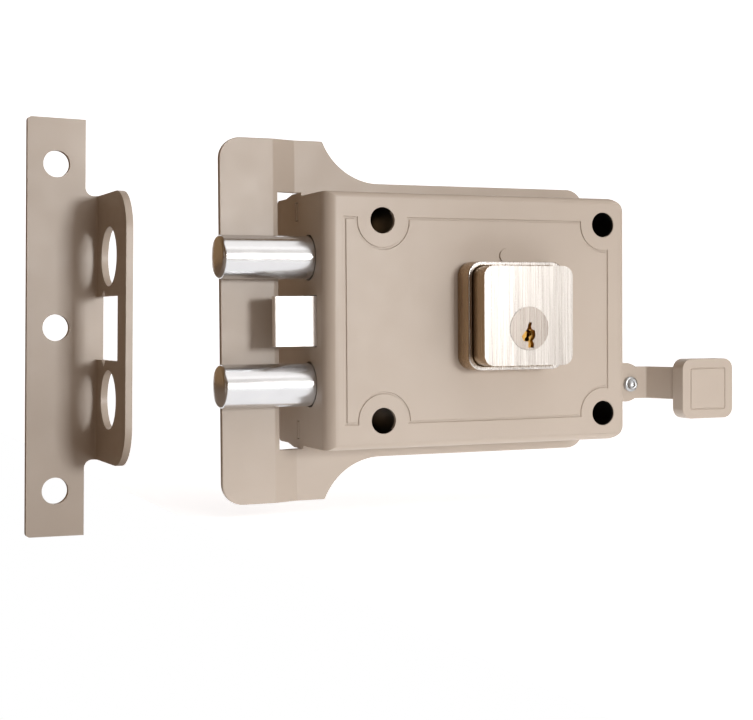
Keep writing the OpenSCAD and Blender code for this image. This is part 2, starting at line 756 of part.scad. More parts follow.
// The keyway seen from the front, narrow at the top and stepped at the sides
module keyway() {
    translate([plug_x, plug_z]) polygon([
        [-0.3, 2.2], [0.6, 2.2], [0.6, -0.6], [1.8, -1.2], [1.8, -2.6], [0.6, -3.2], [0.6, -5],
        [-1.2, -5], [-1.2, -3.8], [-0.4, -3.2], [-0.4, -1.2], [-0.9, -0.6]]);
}

// Wider mouth of the keyway, which leads the key in
module key_mouth() {
    low = 1 - plug_face_d / 2;
    translate([plug_x, plug_z]) polygon([
        [-0.3, 2.4], [1.1, 2.4], [0.7, 0.9], [1, -0.3], [2.4, -0.8], [2.6, -3], [1.4, -4.9],
        [1.9, -6], [1.9, low], [-0.6, low], [-0.6, -5.2], [-2.6, -4.9], [-3.4, -3],
        [-1.1, -0.3]]);
}

module plug() {
    color("gold") difference() {
        union() {
            rod_y(Y(-block_h - 0.2), Y(-block_h + plug_face_t), plug_x, plug_z, plug_face_d);
            rod_y(Y(-block_h + 1), Y(plug_end), plug_x, plug_z, plug_d);
            rod_y(Y(plug_end - 1), Y(rack_back + 1), plug_x, plug_z, shaft_d);
        }
        slab_y(Y(-block_h - 1), Y(0)) keyway();
        slab_y(Y(-block_h - 1), Y(-block_h + 1.6)) key_mouth();
        for (y = pin_ys) rod_z(plug_z - 2, shear_z + 1, plug_x, y, pin_d + 2 * run_gap);
    }
}

// Pinion on the plug, in mesh with the rack when one tooth points straight up
module drive_pinion() {
    root_r = pinion_r - dedendum;
    step = 360 / teeth;
    tooth = [[root_r, -0.27], [pinion_r, -0.19], [pinion_r + addendum, -0.08],
             [pinion_r + addendum, 0.08], [pinion_r, 0.19], [root_r, 0.27]];
    color("dimgray") difference() {
        slab_y(Y(plug_end + 0.1), Y(rack_back - 0.2)) translate([plug_x, plug_z])
            polygon([for (i = [0 : teeth - 1]) for (p = tooth)
                let (a = 90 + step * i, across = p[1] * tooth_pitch)
                [p[0] * cos(a) - across * sin(a), p[0] * sin(a) + across * cos(a)]]);
        rod_y(Y(0), Y(rack_back + 1), plug_x, plug_z, shaft_d + 2 * run_gap);
    }
}

module pinion_clip() {
    color("silver") difference() {
        rod_y(Y(rack_back - 0.1), Y(rack_back + 0.9), plug_x, plug_z, shaft_d + 3);
        rod_y(Y(rack_back - 1), Y(rack_back + 2), plug_x, plug_z, shaft_d + 2 * run_gap);
    }
}

// Pins as a right key holds them, with the joint between them at the plug's edge
module key_pins() {
    color("gold") for (i = [0 : 4])
        rod_z(plug_z - 1.6 + 0.5 * (i % 3), shear_z - 0.25, plug_x, pin_ys[i], pin_d);
}
module driver_pins() {
    color("silver") for (y = pin_ys) rod_z(shear_z + 0.12, shear_z + 5, plug_x, y, pin_d);
}
module pin_springs() {
    wire = 0.4;
    bottom = shear_z + 5 + wire / 2 + 0.05;
    top = pin_top - wire / 2 - 0.05;
    color("silver") for (y = pin_ys) translate([plug_x, y, bottom])
        coil(pin_d / 2 - wire / 2, wire, 5, top - bottom, 5, 10);
}

// The bend of the strike seen from above, with the inner corner at the origin
module strike_section() {
    difference() {
        union() {
            translate([strike_left, 0]) square([strike_root, strike_t]);
            translate([0, -flange_h]) square([strike_t, flange_h + strike_t]);
            difference() {
                translate([-1, -1]) square(2);
                translate([-1, -1]) circle(1);
            }
        }
        corner_cut(strike_t, strike_t, -1, -1, strike_t + 1);
    }
}

// One bent plate: a leaf with three screw holes, and the flange that the bolts enter.
// It stands beside the lock, turned a little, as a loose piece does.
module strike() {
    step_x = strike_left + strike_w;
    color("tan") translate(strike_at) rotate(strike_turn) difference() {
        slab_z(-strike_h / 2, strike_h / 2) strike_section();
        for (s = [-1, 1]) scale([1, 1, s]) {
            slab_y(-1, strike_t + 1)
                rounded(step_x, strike_t + 9, flange_len / 2, strike_h / 2 + 9, [3, 0, 0, 0]);
            box(-1.5, strike_t + 1, -flange_h - 1, 1, flange_len / 2, strike_h / 2 + 1);
            slab_x(-1, strike_t + 1) corner_cut(-flange_h, flange_len / 2, 1, -1, flange_r);
            slab_y(-1, strike_t + 1) corner_cut(strike_left, strike_h / 2, 1, -1, 1.5);
        }
        for (z = [-strike_pitch, 0, strike_pitch])
            rod_y(-1, strike_t + 1, strike_left + strike_w / 2, z, strike_screw_d);
        for (z = bolt_zs) rod_x(-2, strike_t + 1, -keep_up, z, keep_d);
        box(-1.5, strike_t + 2, -keep_up - keep_d / 2 - 1.85, 0, -slot_h / 2, slot_h / 2);
        for (s = [-1, 1]) scale([1, 1, s]) slab_x(-1, strike_t + 1) polygon([
            [-keep_up + 6.7 - notch_r, slot_h / 2 - 0.5], [-keep_up + 6.7, slot_h / 2 + notch_h],
            [-keep_up + 6.7 + notch_r, slot_h / 2 - 0.5]]);
    }
}

back_plate();
case_cover();
cover_screws();
front_guide();
rear_guide();
upper_deadbolt();
lower_deadbolt();
cross_bar();
bar_screws();
rack_bar();
rack_rivets();
latch_bolt();
latch_tail();
latch_rivets();
latch_spring();
pull_bar();
bar_rivets();
pull_arm();
arm_rivet();
pull_knob();
knob_screw();
cylinder_collar();
cylinder_block();
cylinder_screws();
plug();
drive_pinion();
pinion_clip();
key_pins();
driver_pins();
pin_springs();
strike();
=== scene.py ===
import math

import bmesh
import bpy
from mathutils import Matrix, Vector


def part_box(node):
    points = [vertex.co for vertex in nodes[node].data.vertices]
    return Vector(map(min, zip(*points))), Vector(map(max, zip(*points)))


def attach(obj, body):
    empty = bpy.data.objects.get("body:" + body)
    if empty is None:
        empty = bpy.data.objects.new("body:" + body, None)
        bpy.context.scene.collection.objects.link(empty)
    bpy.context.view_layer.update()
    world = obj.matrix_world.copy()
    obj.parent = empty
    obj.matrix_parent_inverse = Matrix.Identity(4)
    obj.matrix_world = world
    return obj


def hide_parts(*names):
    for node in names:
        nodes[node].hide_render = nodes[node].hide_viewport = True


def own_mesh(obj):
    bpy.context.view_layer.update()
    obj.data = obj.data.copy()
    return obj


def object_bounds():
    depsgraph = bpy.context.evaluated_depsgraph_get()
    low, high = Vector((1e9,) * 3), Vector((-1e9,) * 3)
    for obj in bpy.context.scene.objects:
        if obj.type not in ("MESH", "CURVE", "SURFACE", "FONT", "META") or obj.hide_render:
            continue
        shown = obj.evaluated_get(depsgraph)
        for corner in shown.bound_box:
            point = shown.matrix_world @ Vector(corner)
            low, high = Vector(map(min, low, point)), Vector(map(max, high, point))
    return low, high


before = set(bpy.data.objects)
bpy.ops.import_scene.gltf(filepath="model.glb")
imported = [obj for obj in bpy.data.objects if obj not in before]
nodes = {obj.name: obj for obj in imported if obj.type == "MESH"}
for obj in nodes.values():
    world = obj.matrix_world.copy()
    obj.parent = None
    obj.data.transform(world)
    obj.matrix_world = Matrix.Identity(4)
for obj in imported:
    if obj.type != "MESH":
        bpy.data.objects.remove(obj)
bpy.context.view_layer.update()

# Back plate.
# A 2.5 mm steel pressing that the whole lock hangs from. It is cut and stepped in a
# press, its edges are tumbled, and it is sprayed with beige enamel and baked.

MM = 0.001
PLATE_EDGE = 0.35 * MM
PLATE_ANGLE = 13  # degrees: its bends turn in smaller steps, and aren't eased as edges
# A Mix node's colour sockets share their names with its others, so they go by number.
MIX_FACTOR, MIX_FIRST, MIX_SECOND, MIXED = 0, 6, 7, 2


def linear(hex_colour):
    """An sRGB hex colour as linear red, green, blue and alpha."""
    out = []
    for i in (1, 3, 5):
        c = int(hex_colour[i : i + 2], 16) / 255
        out.append(c / 12.92 if c <= 0.04045 else ((c + 0.055) / 1.055) ** 2.4)
    return (*out, 1.0)


def add(tree, kind, settings=None, inputs=None):
    """Adds a node with its settings, and sets or links each of its inputs."""
    node = tree.nodes.new(kind)
    for name, value in (settings or {}).items():
        setattr(node, name, value)
    for name, value in (inputs or {}).items():
        if isinstance(value, bpy.types.NodeSocket):
            tree.links.new(value, node.inputs[name])
        else:
            node.inputs[name].default_value = value
    return node


def new_finish(name, **shader_values):
    """A material with its shader's uniform values set, its tree, and its millimetre grid."""
    material = bpy.data.materials.new(name)
    material.use_nodes = True
    tree = material.node_tree
    shader = tree.nodes["Principled BSDF"]
    for key, value in shader_values.items():
        shader.inputs[key.replace("_", " ")].default_value = value
    place = add(tree, "ShaderNodeTexCoord").outputs["Object"]
    grid = add(tree, "ShaderNodeMapping", {}, {"Vector": place, "Scale": (1000, 1000, 1000)})
    return material, tree, shader, grid.outputs["Vector"]


def mottle(tree, grid, size_mm, detail, stretch=(1, 1, 1)):
    """A pattern of lumps about size_mm across, longer where stretch is above 1."""
    scale = tuple(1 / s for s in stretch)
    held = add(tree, "ShaderNodeMapping", {}, {"Vector": grid, "Scale": scale})
    made = add(tree, "ShaderNodeTexNoise", {},
               {"Vector": held.outputs["Vector"], "Scale": 1 / size_mm, "Detail": detail})
    return made.outputs["Fac"]


def lay_on(tree, shader, colours, roughness=None, relief=None):
    """Lays patterns on a surface: two hex colours or two roughnesses that each run along
    a pattern, and a relief with its height in mm and its strength. Returns what feeds
    the colour and the roughness."""
    pattern, dark, light = colours
    colour = add(tree, "ShaderNodeMix", {"data_type": "RGBA"},
                 {MIX_FACTOR: pattern, MIX_FIRST: linear(dark),
                  MIX_SECOND: linear(light)}).outputs[MIXED]
    tree.links.new(colour, shader.inputs["Base Color"])
    rough = None
    if roughness:
        # Nearly all of a mottle lies between 0.3 and 0.7.
        pattern, smoothest, roughest = roughness
        rough = add(tree, "ShaderNodeMapRange", {},
                    {"Value": pattern, "From Min": 0.3, "From Max": 0.7,
                     "To Min": smoothest, "To Max": roughest}).outputs["Result"]
        tree.links.new(rough, shader.inputs["Roughness"])
    if relief:
        pattern, height_mm, strength = relief
        bump = add(tree, "ShaderNodeBump", {},
                   {"Height": pattern, "Distance": height_mm * MM, "Strength": strength})
        tree.links.new(bump.outputs["Normal"], shader.inputs["Normal"])
    return colour, rough


def enamelled(name, inside=None):
    """Sprayed and baked enamel: an even satin film with a faint orange peel about 1.2 mm
    across, and a colour that drifts a little where the film is thicker. Between the
    corners of a box called inside, in metres, the faces that look inward are painted near
    black as painted shade, and are made rougher and left without the coat."""
    glaze, inside_dulls = 0.2, 0.3
    material, tree, shader, grid = new_finish(
        name, IOR=1.5, Coat_Weight=glaze, Coat_Roughness=0.3, Coat_IOR=1.5)
    colour, rough = lay_on(tree, shader,
                           (mottle(tree, grid, 34, 3), "#B4A79A", "#BCB0A4"),
                           (mottle(tree, grid, 9, 3), 0.42, 0.52),
                           (mottle(tree, grid, 1.2, 2), 0.012, 0.35))
    if inside:
        parts = add(tree, "ShaderNodeSeparateXYZ", {}, {"Vector": grid}).outputs
        centre = tuple((a + b) / 2 / MM for a, b in zip(*inside))
        away = add(tree, "ShaderNodeVectorMath", {"operation": "SUBTRACT"}, {0: grid, 1: centre})
        normal = add(tree, "ShaderNodeTexCoord").outputs["Normal"]
        outward = add(tree, "ShaderNodeVectorMath", {"operation": "DOT_PRODUCT"},
                      {0: away.outputs["Vector"], 1: normal}).outputs["Value"]
        within = add(tree, "ShaderNodeMath", {"operation": "LESS_THAN"},
                     {0: outward, 1: 0.0}).outputs[0]
        for letter, low_end, high_end in zip("XYZ", *inside):
            for limit, order in ((low_end, "GREATER_THAN"), (high_end, "LESS_THAN")):
                test = add(tree, "ShaderNodeMath", {"operation": order},
                           {0: parts[letter], 1: limit / MM}).outputs[0]
                within = add(tree, "ShaderNodeMath", {"operation": "MULTIPLY"},
                             {0: test, 1: within}).outputs[0]
        # Painted shade: the faces inside the shell are painted near black, where only shade
        # falls.
        painted_shade = add(tree, "ShaderNodeMix", {"data_type": "RGBA"},
                    {MIX_FACTOR: within, MIX_FIRST: colour, MIX_SECOND: linear("#0F0D0B")})
        tree.links.new(painted_shade.outputs[MIXED], shader.inputs["Base Color"])
        dulled = add(tree, "ShaderNodeMath", {"operation": "MULTIPLY_ADD", "use_clamp": True},
                     {0: within, 1: inside_dulls, 2: rough})
        tree.links.new(dulled.outputs[0], shader.inputs["Roughness"])
        coat = add(tree, "ShaderNodeMath", {"operation": "MULTIPLY_ADD"},
                   {0: within, 1: -glaze, 2: glaze})
        tree.links.new(coat.outputs[0], shader.inputs["Coat Weight"])
    return material


# The space inside the shell, a little inside its 2 mm walls, where faces looking inward get
# painted shade.
low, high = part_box("case_cover")
SHY_OF_WALL = 1.2 * MM
INTO_PLATE = 1.6 * MM
INSIDE = ((low.x + SHY_OF_WALL, low.y + SHY_OF_WALL, low.z + SHY_OF_WALL),
          (high.x - SHY_OF_WALL, high.y + INTO_PLATE, high.z - SHY_OF_WALL))
enamel = enamelled("baked_beige_enamel")
shell_enamel = enamelled("shell_enamel_painted_shade_inside", INSIDE)


def placed(name, data):
    """A new object in the scene, at the origin, with its place in its data."""
    piece = bpy.data.objects.new(name, data)
    bpy.context.scene.collection.objects.link(piece)
    return piece


def plain(piece):
    """The piece with its modifiers turned into a plain mesh."""
    bpy.context.view_layer.update()
    seen = piece.evaluated_get(bpy.context.evaluated_depsgraph_get())
    made = bpy.data.meshes.new_from_object(seen)
    piece.modifiers.clear()
    piece.data = made
    return piece


def settled(piece, angle=32):
    """A plain mesh that is shaded smooth, but for the edges sharper than the angle."""
    piece.data.polygons.foreach_set("use_smooth", [True] * len(piece.data.polygons))
    piece.data.set_sharp_from_angle(angle=math.radians(angle))
    return plain(piece)


def eased(name, node, edge, steps=2, angle=32):
    """A copy of a CAD node with its sharp edges eased, as a new piece in its place."""
    same_point, flat_within = 0.002 * MM, math.radians(0.6)
    mesh = nodes[node].data.copy()
    bm = bmesh.new()
    bm.from_mesh(mesh)
    bmesh.ops.remove_doubles(bm, verts=bm.verts, dist=same_point)
    bmesh.ops.dissolve_limit(bm, angle_limit=flat_within, verts=bm.verts, edges=bm.edges)
    bm.to_mesh(mesh)
    bm.free()
    mesh.materials.clear()
    piece = placed(name, mesh)
    bevel = piece.modifiers.new("eased_edges", "BEVEL")
    bevel.width = edge
    bevel.segments = steps
    bevel.limit_method = "ANGLE"
    bevel.angle_limit = math.radians(angle)
    bevel.harden_normals = True
    weigh = piece.modifiers.new("even_shading", "WEIGHTED_NORMAL")
    weigh.keep_sharp = True
    return settled(piece, angle)


def fitted(piece, material, slot, body, *stands_for):
    """Gives a finished piece its material and its body, and hides the nodes it stands for. The
    slot is not used.
    """
    if not piece.data.materials:
        piece.data.materials.append(material)
    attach(piece, body)
    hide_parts(*stands_for)


plate = eased("pressed_back_plate", "back_plate", PLATE_EDGE, angle=PLATE_ANGLE)
fitted(plate, shell_enamel, "beige_paint", "case", "back_plate")

# Case cover.
# A drawn 2 mm steel shell with the forend as its left wall, enamelled like the plate.
# The panel line and the small boss are coined in the same press stroke.

COVER_EDGE = 0.25 * MM
cover = eased("drawn_case_cover", "case_cover", COVER_EDGE)
fitted(cover, shell_enamel, "beige_paint", "case", "case_cover")

# Cover screws.
# Four M3 screws with domed cross-recessed heads, zinc plated, driven from the back of
# the plate into the lugs of the cover.

# Bright zinc plate: a cool grey metal, dulled by fine crystals under half a millimetre.
zinc, tree, shader, grid = new_finish("bright_zinc_plate", Metallic=1.0)
crystals = mottle(tree, grid, 0.5, 3)
lay_on(tree, shader, (crystals, "#A9ADB1", "#CDD0D2"), (crystals, 0.26, 0.40),
       (crystals, 0.006, 0.5))


def turned(name, profile, axis, centre, around=64):
    """A piece turned on a lathe. The profile holds (distance along the axis, radius)."""
    nothing = 1e-7
    bm = bmesh.new()
    rings = []
    for along, radius in profile:
        if radius < nothing:
            rings.append([bm.verts.new((0, 0, along))])
        else:
            rings.append([
                bm.verts.new((radius * math.cos(2 * math.pi * i / around),
                              radius * math.sin(2 * math.pi * i / around), along))
                for i in range(around)])
    for near, far in zip(rings, rings[1:]):
        for i in range(around):
            j = (i + 1) % around
            corners = [near[i % len(near)], near[j % len(near)], far[j % len(far)],
                       far[i % len(far)]]
            corners = [v for n, v in enumerate(corners) if v not in corners[:n]]
            bm.faces.new(corners)
    turn = Vector((0, 0, 1)).rotation_difference(Vector(axis)).to_matrix().to_4x4()
    bmesh.ops.transform(bm, matrix=Matrix.Translation(centre) @ turn, verts=bm.verts)
    bmesh.ops.recalc_face_normals(bm, faces=bm.faces)
    mesh = bpy.data.meshes.new(name)
    bm.to_mesh(mesh)
    bm.free()
    return placed(name, mesh)


def screw_profile(length, shank_r, chamfer, head):
    """The outline of a screw from its tip, for the lathe. The sizes are in mm, and the
    head holds (distance below its top, radius) from its underside to its top."""
    under_head = length / MM - head[0][0]
    shank = [(0, 0), (0, shank_r - chamfer), (chamfer, shank_r), (under_head, shank_r)]
    crown = [(length / MM - below, radius) for below, radius in head]
    return [(along * MM, radius * MM) for along, radius in shank + crown]


def recessed(piece, centre, width, depth, across):
    """Cuts a cross recess into a head that faces along Y."""
    bm = bmesh.new()
    for wide, high in ((width, across), (across, width)):
        made = bmesh.ops.create_cube(bm, size=1.0)["verts"]
        bmesh.ops.scale(bm, vec=(wide, 2 * depth, high), verts=made)
        bmesh.ops.translate(bm, vec=centre, verts=made)
    cutter_mesh = bpy.data.meshes.new("cross")
    bm.to_mesh(cutter_mesh)
    bm.free()
    cutter = placed("cross", cutter_mesh)
    cut = piece.modifiers.new("cross_recess", "BOOLEAN")
    cut.operation = "DIFFERENCE"
    cut.solver = "EXACT"
    cut.use_self = True
    cut.object = cutter
    settled(piece)
    bpy.data.objects.remove(cutter)


def new_tree(name, inputs):
    """A tree of shape nodes with named inputs: the tree, its inputs, and what they give."""
    tree = bpy.data.node_groups.new(name, "GeometryNodeTree")
    tree.is_modifier = True
    sockets = {label: tree.interface.new_socket(name=label, in_out="INPUT",
                                                socket_type="NodeSocket" + kind)
               for label, kind in inputs.items()}
    tree.interface.new_socket(name="Geometry", in_out="OUTPUT", socket_type="NodeSocketGeometry")
    return tree, sockets, add(tree, "NodeGroupInput").outputs


def grown(name, blank, tree, sockets, given, geometry, values):
    """Ends a tree of shape nodes in one mesh with its finish, and grows a piece with it."""
    real = add(tree, "GeometryNodeRealizeInstances", {}, {"Geometry": geometry})
    finished = add(tree, "GeometryNodeSetMaterial", {},
                   {"Geometry": real.outputs["Geometry"], "Material": given["Finish"]})
    add(tree, "NodeGroupOutput", {}, {"Geometry": finished.outputs["Geometry"]})
    piece = placed(name, blank)
    modifier = piece.modifiers.new("grow", "NODES")
    modifier.node_group = tree
    for label, value in values.items():
        modifier[sockets[label].identifier] = value
    return plain(piece)


def set_out(name, pattern, places, material):
    """Copies of a pattern piece at each place, made one plain mesh by a node tree."""
    tree, sockets, given = new_tree("set_out_" + name, {
        "Places": "Geometry", "Pattern": "Object", "Finish": "Material"})
    shape = add(tree, "GeometryNodeObjectInfo", {"transform_space": "ORIGINAL"},
                {"Object": given["Pattern"]})
    copies = add(tree, "GeometryNodeInstanceOnPoints", {},
                 {"Points": given["Places"], "Instance": shape.outputs["Geometry"]})
    mesh = bpy.data.meshes.new(name)
    mesh.from_pydata([tuple(p) for p in places], [], [])
    piece = grown(name, mesh, tree, sockets, given, copies.outputs["Instances"],
                  {"Pattern": pattern, "Finish": material})
    bpy.data.objects.remove(pattern)
    return piece


COVER_HEAD_R = 2.8
COVER_HEAD = [(1.4, COVER_HEAD_R), (0.7, COVER_HEAD_R), (0.3, COVER_HEAD_R * 0.86),
              (0.06, COVER_HEAD_R * 0.5), (0, 0)]
low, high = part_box("cover_screws")
screw = turned("cover_screw", screw_profile(high.y - low.y, 1.5, 0.3, COVER_HEAD),
               (0, 1, 0), (0, low.y, 0), 40)
recessed(screw, (0, high.y, 0), 0.8 * MM, 0.9 * MM, 3.2 * MM)
inset = COVER_HEAD_R * MM
screw_places = [(x, 0, z) for x in (low.x + inset, high.x - inset)
                for z in (low.z + inset, high.z - inset)]
screws = set_out("case_cover_screws", screw, screw_places, zinc)
fitted(screws, zinc, "zinc", "case", "cover_screws")

# Guides.
# Two 3 mm steel plates that stand across the inside of the case and carry the bolts.
# They are left bare, with a film of oil.

# Pressed mild steel with a film of oil: mid grey, with darker patches about 6 mm across
# and a faint grain from the rolling mill.
bare_steel, tree, shader, grid = new_finish("oiled_mild_steel", Metallic=1.0)
patches = mottle(tree, grid, 6, 4)
mill_grain = mottle(tree, grid, 0.4, 2, (12, 1, 1))
lay_on(tree, shader, (patches, "#77736E", "#96928C"), (patches, 0.34, 0.52),
       (mill_grain, 0.01, 0.4))

GUIDE_EDGE = 0.2 * MM
for node in ("front_guide", "rear_guide"):
    guide = eased("pressed_" + node, node, GUIDE_EDGE)
    fitted(guide, bare_steel, "plain_steel", "case", node)

# Deadbolts.
# Two 17 mm steel bars, turned to length with slightly domed tips, polished and chrome
# plated. Their inner ends are drilled for the screws of the cross bar.

# Chrome plate on ground bar: bright, with a soft haze that blurs what it mirrors, and
# very fine rings left by the grinding, drawn at 0.35 mm because the real ones are too
# fine to show.
chrome, tree, shader, grid = new_finish("chrome_plated_bar", Metallic=1.0)
haze = mottle(tree, grid, 7, 3)
grinding = mottle(tree, grid, 0.35, 1, (1, 400, 400))
lay_on(tree, shader, (haze, "#D3D5D8", "#E2E4E7"), (haze, 0.20, 0.27),
       (grinding, 0.003, 0.25))


def round_corner(along, radius, corner, steps=8):
    """Points of the rounded corner where a turned piece's end meets its side."""
    points = []
    for i in range(steps + 1):
        a = math.pi / 2 * i / steps
        points.append((along + corner * (1 - math.cos(a)), radius - corner * (1 - math.sin(a))))
    return points


BOLT_TIP = 1.6 * MM
BOLT_DOME, DOME_STEPS = 0.8 * MM, 8
BOLT_BACK = 0.5 * MM
BORE_R, BORE_DEPTH = 2.58 * MM, 14 * MM
for node in ("upper_deadbolt", "lower_deadbolt"):
    low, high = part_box(node)
    radius = (high.z - low.z) / 2
    length = high.x - low.x
    flat = radius - BOLT_TIP
    dome = [(BOLT_DOME * (i / DOME_STEPS) ** 2, flat * i / DOME_STEPS)
            for i in range(DOME_STEPS)]
    profile = [*dome, *round_corner(BOLT_DOME, radius, BOLT_TIP),
               (length - BOLT_BACK, radius), (length, radius - BOLT_BACK),
               (length, BORE_R), (length - BORE_DEPTH, BORE_R), (length - BORE_DEPTH, 0)]
    bolt = turned("plated_" + node, profile, (1, 0, 0),
                  (low.x, (low.y + high.y) / 2, (low.z + high.z) / 2), 128)
    fitted(settled(bolt, 40), chrome, "bright_plate", "deadbolts", node)

# Cross bar and its screws.
# A steel bar that ties the two deadbolts together inside the case, held by two screws
# with cylindrical heads.

BAR_EDGE = 0.25 * MM
cross_bar = eased("steel_cross_bar", "cross_bar", BAR_EDGE)
fitted(cross_bar, bare_steel, "plain_steel", "deadbolts", "cross_bar")

low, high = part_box("bar_screws")
head_r = (high.y - low.y) / 2
BAR_HEAD = [(3, head_r / MM), (0.4, head_r / MM), (0, head_r / MM - 0.4), (0, 0)]
bar_screw = turned("bar_screw", screw_profile(high.x - low.x, 2.5, 0.5, BAR_HEAD),
                   (1, 0, 0), (low.x, (low.y + high.y) / 2, 0), 40)
settled(bar_screw)
bar_screws = set_out("cross_bar_screws", bar_screw,
                     [(0, 0, low.z + head_r), (0, 0, high.z - head_r)], zinc)
fitted(bar_screws, zinc, "zinc", "deadbolts", "bar_screws")

# Rack and its rivets.
# A rack of eleven milled teeth on a flat steel bar, riveted to the cross bar. The pinion
# on the plug drives it.

TOOTH_EDGE = 0.12 * MM
rack = eased("milled_rack", "rack_bar", TOOTH_EDGE)
fitted(rack, bare_steel, "plain_steel", "deadbolts", "rack_bar")
rack_rivets = eased("rack_bar_rivets", "rack_rivets", BAR_EDGE)
fitted(rack_rivets, zinc, "zinc", "deadbolts", "rack_rivets")

# Latch bolt.
# A square brass bar, nickel plated and brushed upright, with its rear side bevelled so
# that it rides over the strike.


def brushed_nickel(name, dark, light, smoothest, roughest, painted_side_tones=None):
    """Brushed nickel plate: warm white metal with upright hairlines. Real hairlines are
    about 0.05 mm wide; they are drawn 0.22 mm wide and 30 mm long so that they show. The
    faces that don't look forward get the painted_side_tones colours instead: a painted
    reflection of the dim brown room, not the metal's own colour."""
    material, tree, shader, grid = new_finish(name, Metallic=1.0)
    hairlines = mottle(tree, grid, 0.22, 2, (1, 1, 140))
    broad = mottle(tree, grid, 2.6, 2, (1, 1, 30))
    both = add(tree, "ShaderNodeMath", {"operation": "MULTIPLY_ADD"},
               {0: hairlines, 1: 0.65, 2: broad})
    stripes = add(tree, "ShaderNodeMapRange", {},
                  {"Value": both.outputs[0], "From Min": 0.6, "From Max": 1.05})
    colour, _ = lay_on(tree, shader, (stripes.outputs["Result"], dark, light),
                       (hairlines, smoothest, roughest), (hairlines, 0.006, 0.3))
    if painted_side_tones:
        normal = add(tree, "ShaderNodeTexCoord").outputs["Normal"]
        facing = add(tree, "ShaderNodeSeparateXYZ", {}, {"Vector": normal}).outputs["Y"]
        side = add(tree, "ShaderNodeMapRange", {},
                   {"Value": facing, "From Min": -0.75, "From Max": -0.45})
        # Painted reflection: faces that don't look forward are painted brown, for the dim brown
        # room they mirror.
        painted_side = add(tree, "ShaderNodeMix", {"data_type": "RGBA"},
                   {MIX_FACTOR: broad, MIX_FIRST: linear(painted_side_tones[0]),
                    MIX_SECOND: linear(painted_side_tones[1])})
        shown = add(tree, "ShaderNodeMix", {"data_type": "RGBA"},
                    {MIX_FACTOR: side.outputs["Result"], MIX_FIRST: colour,
                     MIX_SECOND: painted_side.outputs[MIXED]})
        tree.links.new(shown.outputs[MIXED], shader.inputs["Base Color"])
    return material


LATCH_EDGE = 0.45 * MM
matt_nickel = brushed_nickel("matt_nickel_plate", "#F4F1EF", "#FBFAF8", 0.50, 0.58)
latch = eased("bevelled_latch_bolt", "latch_bolt", LATCH_EDGE, 3)
fitted(latch, matt_nickel, "satin_nickel", "latch", "latch_bolt")

# Latch tail, its rivets and the pull bar.
# Flat steel strips that carry the latch's motion across the case and out through the
# right wall, riveted together.

STRIP_EDGE, PULL_EDGE, RIVET_EDGE = 0.25 * MM, 0.3 * MM, 0.2 * MM
tail = eased("latch_tail_strip", "latch_tail", STRIP_EDGE)
fitted(tail, bare_steel, "plain_steel", "latch", "latch_tail")
pull_bar = eased("steel_pull_bar", "pull_bar", PULL_EDGE)
fitted(pull_bar, bare_steel, "plain_steel", "latch", "pull_bar")
for node in ("latch_rivets", "bar_rivets"):
    rivets = eased("flush_" + node, node, RIVET_EDGE)
    fitted(rivets, zinc, "zinc", "latch", node)

# Springs.
# Coils of drawn wire: one large one behind the latch, and five small ones over the
# driver pins of the cylinder.

# Drawn spring wire: dark bright steel with lines along the wire, too fine to show alone.
wire_steel, tree, shader, grid = new_finish("drawn_spring_wire", Metallic=1.0)
drawn = mottle(tree, grid, 0.8, 3)
lay_on(tree, shader, (drawn, "#8B8C8F", "#B4B5B8"), (drawn, 0.24, 0.36), (drawn, 0.006, 0.4))


def coiled(name, radius, wire, turns, length, material, per_turn=28, sides=10):
    """A spring along Z from the origin, wound by a node tree from named sizes. The blank
    is the empty mesh that a node tree has to start from."""
    tree, sockets, given = new_tree("wind_" + name, {
        "Blank": "Geometry", "Coil Radius": "Float", "Wire Radius": "Float", "Turns": "Float",
        "Length": "Float", "Finish": "Material"})
    helix = add(tree, "GeometryNodeCurveSpiral", {},
                {"Resolution": per_turn, "Rotations": given["Turns"],
                 "Start Radius": given["Coil Radius"], "End Radius": given["Coil Radius"],
                 "Height": given["Length"]})
    section = add(tree, "GeometryNodeCurvePrimitiveCircle", {},
                  {"Resolution": sides, "Radius": given["Wire Radius"]})
    wound = add(tree, "GeometryNodeCurveToMesh", {},
                {"Curve": helix.outputs["Curve"], "Profile Curve": section.outputs["Curve"],
                 "Fill Caps": True})
    piece = grown(name, bpy.data.meshes.new(name), tree, sockets, given, wound.outputs["Mesh"],
                  {"Coil Radius": radius, "Wire Radius": wire / 2, "Turns": turns,
                   "Length": length, "Finish": material})
    piece.data.polygons.foreach_set("use_smooth", [True] * len(piece.data.polygons))
    return piece


WIRE_DRAWN = 0.97  # of its nominal size, so that the coil stays inside the CAD's box
WIRE, LATCH_TURNS = 0.8 * MM, 8.0
low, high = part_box("latch_spring")
middle = (low + high) / 2
spring = coiled("latch_return_spring", (high.z - low.z - WIRE) / 2, WIRE * WIRE_DRAWN,
                LATCH_TURNS, high.x - low.x - WIRE, wire_steel)
spring.data.transform(Matrix.Translation((low.x + WIRE / 2, middle.y, middle.z))
                      @ Matrix.Rotation(math.pi / 2, 4, "Y"))
fitted(spring, wire_steel, "spring_steel", "latch", "latch_spring")
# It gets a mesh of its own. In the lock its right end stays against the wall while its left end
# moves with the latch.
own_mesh(spring)

